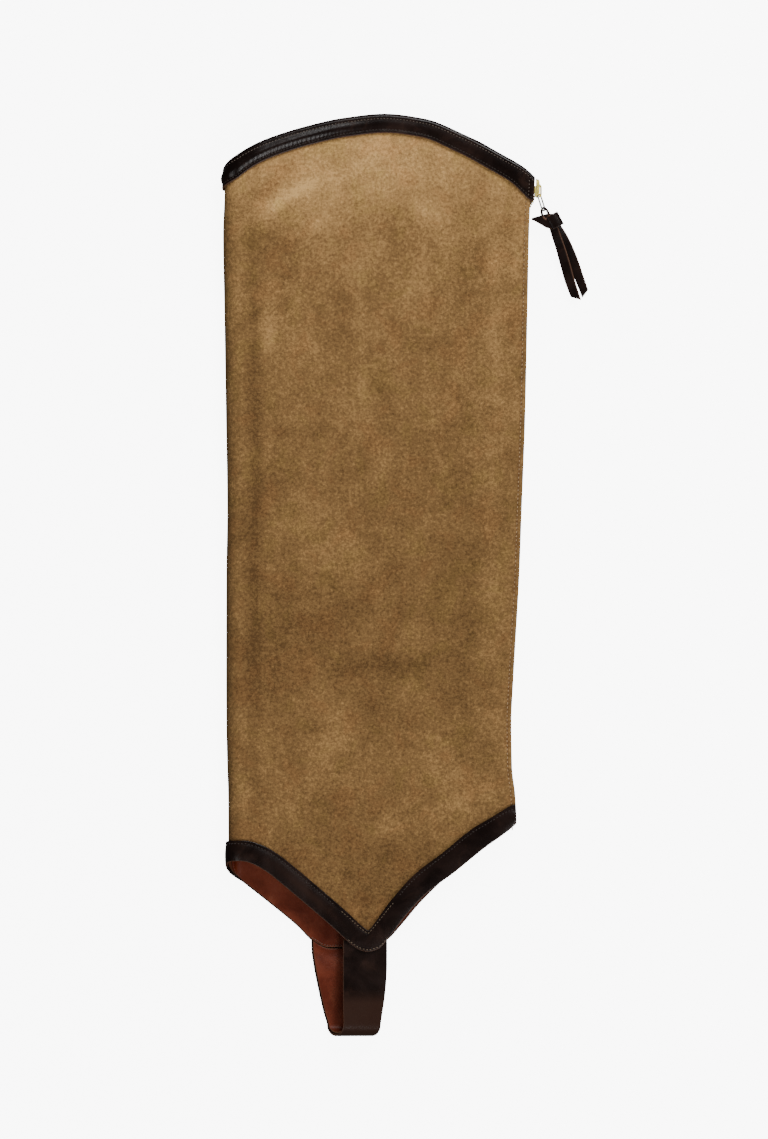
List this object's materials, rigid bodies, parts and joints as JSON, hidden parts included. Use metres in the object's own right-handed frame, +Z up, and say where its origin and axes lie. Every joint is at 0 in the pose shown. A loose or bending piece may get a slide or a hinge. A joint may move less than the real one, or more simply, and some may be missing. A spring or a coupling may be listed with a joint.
{
  "type": "leather gaiter",
  "caption": "Tall suede leg gaiter laid flat, with a bound curved top, a pointed leather-banded hem, a stirrup strap and a side zip with a thong pull.",
  "frame": {"origin": "centre of the bounding box on plan, on the surface that the gaiter lies on", "axes": "+X from the fold to the zip, +Y up the leg from the stirrup strap to the top band, +Z up from the surface"},
  "size_m": [0.2022, 0.5072, 0.0161],
  "materials": {
    "suede": "brushed nap, matt",
    "dark_leather": "smooth, soft sheen",
    "russet_leather": "smooth, soft sheen",
    "zip_tape": "woven, matt",
    "zip_brass": "polished",
    "stop_metal": "dulled",
    "pull_plate": "plated, bright"
  },
  "bodies": {
    "gaiter": {"suede_wrap": "suede", "top_band": "dark_leather", "hem_band": "dark_leather", "hem_facing": "russet_leather", "strap_outer": "dark_leather", "strap_lining": "russet_leather", "zip_tape_front": "zip_tape", "zip_tape_back": "zip_tape", "zip_chain": "zip_brass", "zip_stop": "stop_metal", "zip_slider": "zip_brass"},
    "pull": {"pull_link": "pull_plate", "pull_thong": "dark_leather"}
  },
  "joints": [
    {"name": "pull_swing", "type": "hinge", "parent": "gaiter", "child": "pull", "pos_m": [0.07298, 0.20921, 0.00748], "axis": [0, 0, 1], "range_deg": [-5, 135]}
  ]
}
